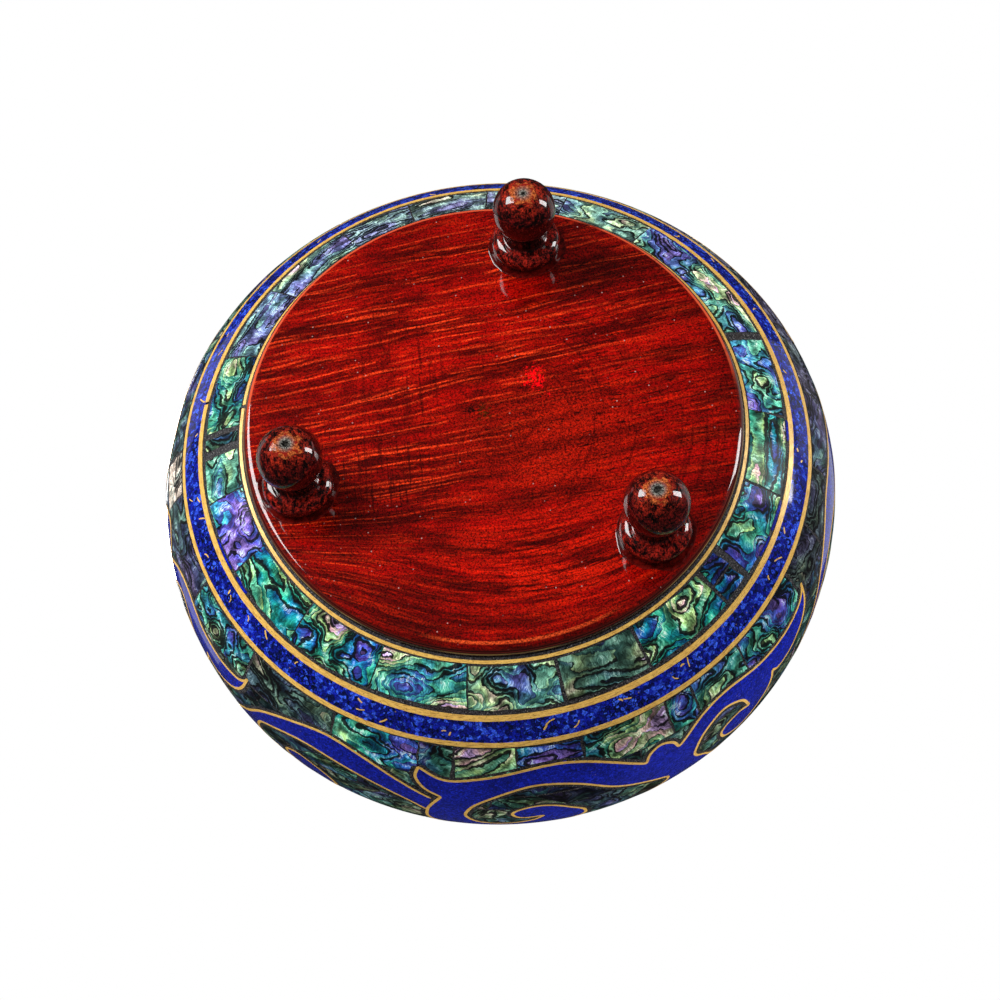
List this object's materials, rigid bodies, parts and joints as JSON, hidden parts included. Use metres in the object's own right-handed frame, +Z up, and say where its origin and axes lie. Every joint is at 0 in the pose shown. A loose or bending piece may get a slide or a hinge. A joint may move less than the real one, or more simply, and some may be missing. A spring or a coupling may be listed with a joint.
{
  "type": "inlaid jewelry box",
  "caption": "Round squat jewelry box on turned ball feet, with a lift-off domed lid, inlaid with shell, crushed blue stone and brass.",
  "frame": {"origin": "centre of the box's overall size, at the height of the feet's flat ends", "axes": "+Z up along the turning axis, from the feet to the lid; the feet stand at about 105, 225 and 345 degrees from +X towards +Y"},
  "size_m": [0.165, 0.165, 0.1023],
  "materials": {
    "lacquered_wood": "stained dark red and lacquered to a gloss",
    "stained_wood": "stained red-brown, satin",
    "brass": "polished flush, satin",
    "lapis": "crushed stone in resin, polished",
    "abalone": "polished shell, iridescent",
    "dark_resin": "dark resin with fine grit, polished"
  },
  "bodies": {
    "root": {"bowl": "stained_wood", "lid_core": "stained_wood", "base_disc": "lacquered_wood", "foot_1": "lacquered_wood", "foot_2": "lacquered_wood", "foot_3": "lacquered_wood", "base_brass_ring": "brass", "middle_brass_ring": "brass", "belly_brass_ring": "brass", "rim_brass_ring": "brass", "lid_rim_brass_ring": "brass", "lid_outer_brass_ring": "brass", "lid_inner_brass_ring": "brass", "lapis_band": "lapis", "lid_lapis_band": "lapis", "abalone_bed": "dark_resin", "belly_inlay": "abalone", "lid_abalone_field": "abalone", "lid_medallion": "abalone", "shell_tile_01": "abalone", "shell_tile_02": "abalone", "shell_tile_03": "abalone", "shell_tile_04": "abalone", "shell_tile_05": "abalone", "shell_tile_06": "abalone", "shell_tile_07": "abalone", "shell_tile_08": "abalone", "shell_tile_09": "abalone", "shell_tile_10": "abalone", "shell_tile_11": "abalone", "shell_tile_12": "abalone", "shell_tile_13": "abalone", "shell_tile_14": "abalone", "shell_tile_15": "abalone", "shell_tile_16": "abalone", "shell_tile_17": "abalone", "shell_tile_18": "abalone", "shell_tile_19": "abalone", "shell_tile_20": "abalone", "shell_tile_21": "abalone", "shell_tile_22": "abalone"}
  },
  "joints": []
}
